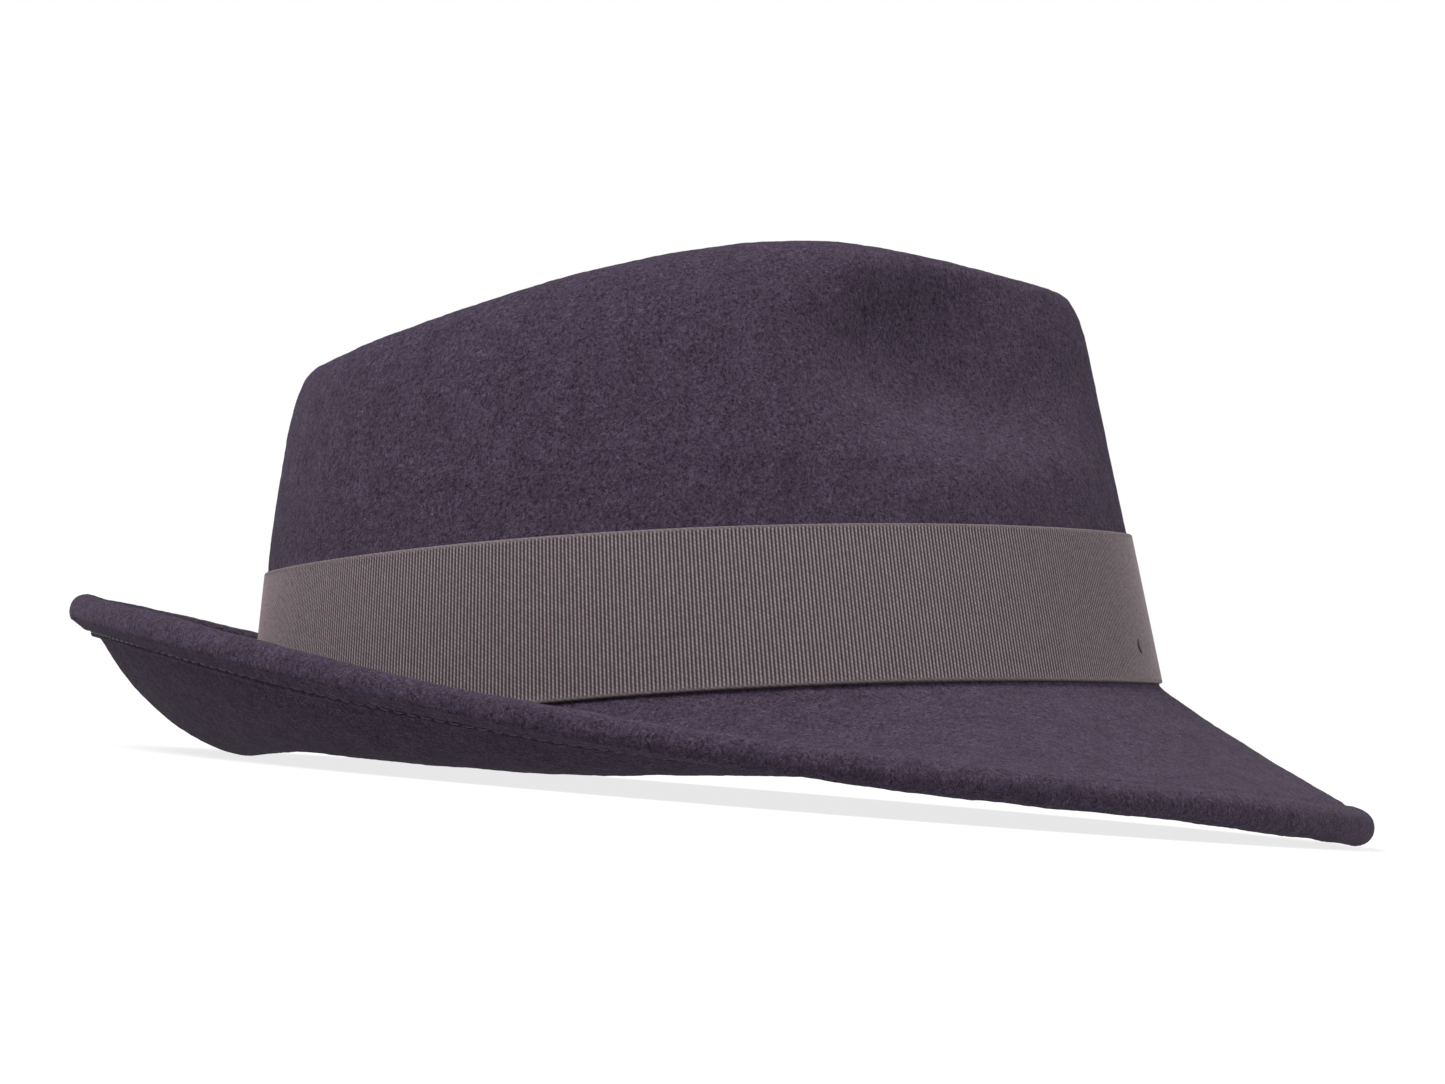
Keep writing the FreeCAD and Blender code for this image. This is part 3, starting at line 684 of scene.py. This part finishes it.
def make_bow():
    """The bow on the wearer's left: an underlay, two flat loops and a pleated wrap.

    Only the front half of the wrap is modelled, and its declared flat size is about that half's. The whole
    cut would be nearer 14 x 66 mm."""
    base = BAND_GAP + BAND_THICKNESS + 0.2
    step = 0.27
    along = np.arange(-BOW_HALF, BOW_HALF * 1.12, step)
    low, high = BOW_LOW + 0 * along, BOW_LOW + BOW_HEIGHT + 0 * along
    tail = np.clip((along - BOW_HALF * 0.86) / (BOW_HALF * 0.26), 0, 1)
    underlay = ribbon_piece("ribbon_underlay", along, base + 0.25 + 0 * along, low, high - 9 * tail)
    placed(underlay, "grosgrain", ["bow_underlay"])

    reach = BOW_HALF * 0.9
    fold = 1.05
    start = base + 0.9
    span = np.arange(-reach, reach, step)
    turn = np.arange(0, pi, step / fold)
    puff = 0.9 * np.sin(pi * np.abs(span) / reach) ** 2
    loop_along = np.concatenate([span, reach + fold * np.sin(turn), span[::-1], -reach - fold * np.sin(turn)])
    loop_out = np.concatenate([start + 0 * span, start + fold - fold * np.cos(turn), start + 2 * fold + puff,
                               start + fold + fold * np.cos(turn)])
    waist = 3.2 * np.exp(-((loop_along / 8) ** 2))
    loops = ribbon_piece("ribbon_loops", loop_along, loop_out,
                         BOW_LOW + 1 + waist, BOW_LOW + BOW_HEIGHT - 1 - waist)
    placed(loops, "grosgrain", ["bow_loops"])

    half = 6.2
    across = np.linspace(-1, 1, 41)[None, :]
    edges = np.sqrt(np.maximum(1 - across**6, 0))
    pleats = 0.32 * np.cos(3.0 * pi * across) * edges
    up_path = np.arange(BOW_LOW + 1.2, BOW_LOW + BOW_HEIGHT - 1.2, RIB_PITCH / 6)
    end = np.minimum(up_path - up_path[0], up_path[-1] - up_path)[:, None]
    ribs_up = rib_profile(up_path)[:, None]
    rise = (2.6 * (1 - np.exp(-end / 1.3)) + 0.6 * RIB_HEIGHT * ribs_up) * (0.35 + 0.65 * edges)
    outer = on_band(across * half * (1 - 0.05 * np.cos(pi * end / end.max())), up_path[:, None] + 0 * across,
                    start + 0.6 + rise + pleats)
    inner = on_band(across * half * 0.97, up_path[:, None] + 0 * across, start - 0.3 + 0 * rise)
    knot = grid_object("ribbon_knot", np.hstack([outer, inner[:, ::-1]]))
    paint(knot, "rib", np.hstack([ribs_up + 0 * outer[..., 0], ribs_up + 0 * inner[..., 0]]))
    beads = weft_phase(up_path[:, None], across * half)
    paint(knot, "weft", np.hstack([beads, beads]))
    cap_ends(knot)
    placed(knot, "grosgrain", ["bow_knot"])


def make_tacks():
    """The two curved stitches that hold the band to the felt."""
    for name, middle in (("band_tack_front", radians(-18)), ("band_tack_back", radians(196))):
        turn = np.linspace(radians(-125), radians(125), 22)
        angle = middle - 1.7 * np.cos(turn) / HEAD_HALF_LENGTH
        line = inset(wall, angle, station_at(angle, break_height(angle) + 9 + 1.5 * np.sin(turn)),
                     -(BAND_GAP + BAND_THICKNESS + 0.12 * np.sin((turn - turn[0]) / np.ptp(turn) * pi)))
        points = tube(line, 0.26 * np.clip(np.minimum(np.arange(22), np.arange(22)[::-1]) / 3 + 0.3, 0, 1))
        made = grid_object("thread_" + name, points)
        cap_ends(made)
        placed(made, "band_thread", [name])


# ---------------------------------------------------------------- inside


def inner_strip(name, low, high, outer, inner, columns, rows, wave=0.0):
    """A strip of leather, tape or satin on the inside of the wall, with rounded edges."""
    angle = turns(columns)
    shares = np.concatenate([[0, 0.012], np.linspace(0.04, 0.96, rows), [0.988, 1]])[:, None]
    middle, half = (outer + inner) / 2, (inner - outer) / 2
    round_off = np.sqrt(np.clip(1 - (1 - np.minimum(shares, 1 - shares) / 0.02) ** 2, 0, 1))
    round_off = np.where(np.minimum(shares, 1 - shares) > 0.02, 1, 0.35 + 0.65 * round_off)
    ripple = wave * np.sin(np.pi * shares) * (np.sin(9 * angle) + 0.6 * np.sin(17 * angle + 2))
    height = break_height(angle) + low + (high - low) * shares
    station = station_at(angle, height)
    front = inset(wall, angle, station, middle + half * round_off + np.maximum(ripple, 0))
    back = inset(wall, angle, station[::-1], (middle - half * round_off + np.maximum(ripple, 0))[::-1])
    return grid_object(name, np.vstack([front, back]), close_rows=True)


def make_sweatband():
    columns = int(420 * DETAIL)
    leather = inner_strip("leather_sweatband", SWEATBAND_RISE, SWEATBAND_RISE + SWEATBAND_HEIGHT,
                          LEATHER_DEPTH, LEATHER_FACE, columns, 14, 0.12)
    placed(leather, "sweatband_leather", ["sweatband"])
    tape = inner_strip("cotton_tape", 1, 11, LINING_DEPTH, LEATHER_DEPTH - AIR, columns, 6)
    placed(tape, "reed_tape_cotton", ["reed_tape"])

    angle = turns(columns)
    reed_line = inset(wall, angle, station_at(angle, break_height(angle) + 1.4), LEATHER_DEPTH + 0.9)[0]
    reed = grid_object("reed_cord", tube(reed_line, 0.9, 12, closed=True).transpose(1, 0, 2), close_rows=True)
    placed(reed, "reed_plastic", ["sweatband_reed"])

    count = 190
    mid = np.arange(count) * 2 * pi / count
    zig = np.where(np.arange(count) % 2, 1, -1)

    def on_leather(turn, height):
        return inset(wall, turn, station_at(turn, break_height(turn) + height), LEATHER_FACE + 0.12)

    starts = on_leather(mid, 6 + 0.9 * zig)
    ends = on_leather(mid + 2 * pi / count, 6 - 0.9 * zig)
    thread = stitches("sweatband_stitches", starts, ends, np.zeros((count, 3)), 0.22)
    placed(thread, "band_thread", ["sweatband_thread"])

    rungs = 13
    heights = np.linspace(9, SWEATBAND_HEIGHT, rungs)
    sides = np.where(np.arange(rungs) % 2, 1, -1) * 1.3 / HEAD_HALF_LENGTH
    seam = stitches("sweatband_back_stitches", on_leather(pi + sides[:-1], heights[:-1]),
                    on_leather(pi + sides[1:], heights[1:]), np.zeros((rungs - 1, 3)), 0.22)
    placed(seam, "band_thread", ["sweatband_back_seam"])


def make_small_bow():
    """The little ribbon bow over the sweatband's back seam."""
    reach = 10.5
    across = np.linspace(-reach, reach, 61)[None, :]
    shares = np.linspace(0, 1, 9)[:, None]
    half_height = 2.6 + 2.4 * np.abs(across / reach) ** 0.7
    middle = 17.0
    puff = 0.9 * np.sin(pi * np.abs(across) / reach) * np.sin(pi * shares)
    knot = 0.9 * np.exp(-((across / 1.6) ** 2))
    angle = pi + across / HEAD_HALF_WIDTH

    def layer(out, order):
        up = break_height(angle) + middle + half_height * (2 * shares[order] - 1)
        return inset(wall, angle, station_at(angle, up), LEATHER_FACE + 0.35 + (out + 0 * up))

    face = layer(0.5 + puff + knot, slice(None))
    back = layer(0.0, slice(None, None, -1))
    made = grid_object("ribbon_small_bow", np.vstack([face, back]), close_rows=True, close_columns=False)
    paint(made, "rib", np.tile(rib_profile(across[0]), len(face) + len(back)))
    paint(made, "weft", np.tile(weft_phase(across[0], 0), len(face) + len(back)))
    cap_ends(made)
    placed(made, "grosgrain", ["sweatband_bow"])


def make_lining():
    """Satin lining: a lightly gathered side band and a smooth tip, joined by a piped seam."""
    columns = int(720 * DETAIL)
    angle = turns(columns)
    shares = np.linspace(0, 1, int(40 * DETAIL))[:, None]
    start = station_at(angle, break_height(angle) + LINING_RISE)
    at = start * (1 - shares) + LINING_SEAM * shares
    gathers = 0.35 * np.maximum(np.sin(46 * angle + 1.5 * np.sin(5 * angle)), -0.2)
    gathers = gathers + 0.3 * np.sin(19 * angle + 1)
    fullness = np.clip((shares - 0.3) / 0.3, 0, 1) * np.clip((1 - shares) / 0.12, 0, 1)
    depth = LINING_DEPTH + 0.25 + np.maximum(gathers * fullness, -0.1)
    hidden = inset(wall, angle, at, depth - 0.1)
    shown = inset(wall, angle, at[::-1], (depth + 0.25)[::-1])
    side = grid_object("satin_side", np.vstack([hidden, shown]), close_rows=True)
    placed(side, "lining_satin", ["lining_side"])

    rim = np.linspace(LINING_SEAM + 0.01, 1, int(14 * DETAIL), endpoint=False)[:, None]
    top = np.linspace(0, 1, int(34 * DETAIL))[:, None]
    over, under = (
        np.vstack([inset(wall, angle, rim, depth), inset(crease, angle, top, depth)])
        for depth in (LINING_DEPTH, LINING_DEPTH + SATIN)
    )
    tip = grid_object("satin_tip", np.vstack([over[::-1], under]), zip_ends=True)
    placed(tip, "lining_satin", ["lining_tip"])

    piping_line = inset(wall, angle, stations(LINING_SEAM), LINING_DEPTH + SATIN + 0.8)[0]
    piping = tube(piping_line, 0.7, 10, closed=True).transpose(1, 0, 2)
    piping = grid_object("satin_piping", piping, close_rows=True)
    placed(piping, "lining_satin", ["lining_piping"])


def make_label(name, middle, half_turn, low, high, depth):
    """A blank woven label."""
    angle = (middle + half_turn * np.linspace(-1, 1, 25))[None, :]
    shares = np.linspace(0, 1, 9)[:, None]
    curl = 0.12 * np.sin(pi * shares) + 0 * angle
    height = break_height(angle) + low + (high - low) * shares
    face = inset(wall, angle, station_at(angle, height), depth + 0.3 + curl)
    back = inset(wall, angle, station_at(angle, height)[::-1], (depth + curl)[::-1])
    made = grid_object("woven_" + name, np.vstack([face, back]), close_rows=True, close_columns=False)
    cap_ends(made)
    placed(made, "label_satin", [name])
    return made


def make_labels():
    start = SWEATBAND_RISE + SWEATBAND_HEIGHT + 2
    main = make_label("main_label", pi, 16 / HEAD_HALF_WIDTH, start, start + 14, LINING_DEPTH + SATIN + 0.9)
    small = make_label("size_label", pi - 0.75, 0.05, SWEATBAND_HEIGHT - 2, SWEATBAND_HEIGHT + 13,
                       LEATHER_FACE + 0.1)


make_felt()
make_welt_stitches()
make_band()
make_bow()
make_tacks()
make_sweatband()
make_small_bow()
make_lining()
make_labels()

# ---------------------------------------------------------------- floor, light and camera


def make_floor(height):
    """A wide pale floor that glows a little, like a light table; its far edge never shows."""
    bpy.ops.mesh.primitive_plane_add(size=60, location=(0, 0, height))
    floor = bpy.context.object
    floor.name = "floor"
    paper = Shader("paper", Roughness=0.9, Base_Color=(0.12, 0.12, 0.12, 1), Specular_IOR_Level=0.0,
                   Emission_Color=(1, 1, 1, 1), Emission_Strength=0.80)
    floor.data.materials.append(paper.material)


def make_world():
    """White walls all round, and a dimmer ceiling above them."""
    world = bpy.data.worlds.new("studio")
    world.use_nodes = True
    tree = world.node_tree
    direction = tree.nodes.new("ShaderNodeTexCoord")
    split = tree.nodes.new("ShaderNodeSeparateXYZ")
    ramp = tree.nodes.new("ShaderNodeValToRGB")
    for element, at, level in zip(ramp.color_ramp.elements, (0.17, 0.36), (1.0, CEILING)):
        element.position = at
        element.color = (level, level, level, 1)
    tree.links.new(direction.outputs["Generated"], split.inputs["Vector"])
    tree.links.new(split.outputs["Z"], ramp.inputs["Fac"])
    tree.links.new(ramp.outputs["Color"], tree.nodes["Background"].inputs["Color"])
    bpy.context.scene.world = world


def make_light(name, source, strength, softness):
    """A broad softbox far away, towards a source direction."""
    lamp = bpy.data.lights.new(name, "SUN")
    lamp.energy = strength
    lamp.angle = radians(softness)
    holder = bpy.data.objects.new(name, lamp)
    holder.rotation_euler = (-Vector(source)).to_track_quat("-Z", "Y").to_euler()
    bpy.context.collection.objects.link(holder)


def make_camera():
    """Level with the brim, on the wearer's right, 1.3 m away, with the hat's nose dipped in the picture."""
    distance, roll = 1300.0, radians(3.29)
    place = Vector(to_row((0, -distance, 1.8)))
    target = Vector(to_row((6.2, 0, 38.9)))
    up = Vector(to_row((1000 * sin(roll), 0, 1000 * cos(roll))))
    backwards = (place - target).normalized()
    right = up.cross(backwards).normalized()
    matrix = Matrix((right, backwards.cross(right), backwards)).transposed().to_4x4()
    matrix.translation = place
    lens = bpy.data.cameras.new("camera")
    lens.sensor_width = 36
    lens.lens = 36 * distance / 330.9
    lens.clip_start = 0.01
    camera = bpy.data.objects.new("camera", lens)
    camera.matrix_world = matrix
    bpy.context.collection.objects.link(camera)
    bpy.context.scene.camera = camera


visual_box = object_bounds()
make_floor(float(visual_box[0][2]) - 0.0001)
make_world()
make_light("key", (-0.72, -0.46, 1.1), 6.2, 30)
make_light("fill", (1.3, -0.12, 0.75), 2.7, 70)
make_camera()

bpy.context.scene.view_settings.view_transform = "Standard"
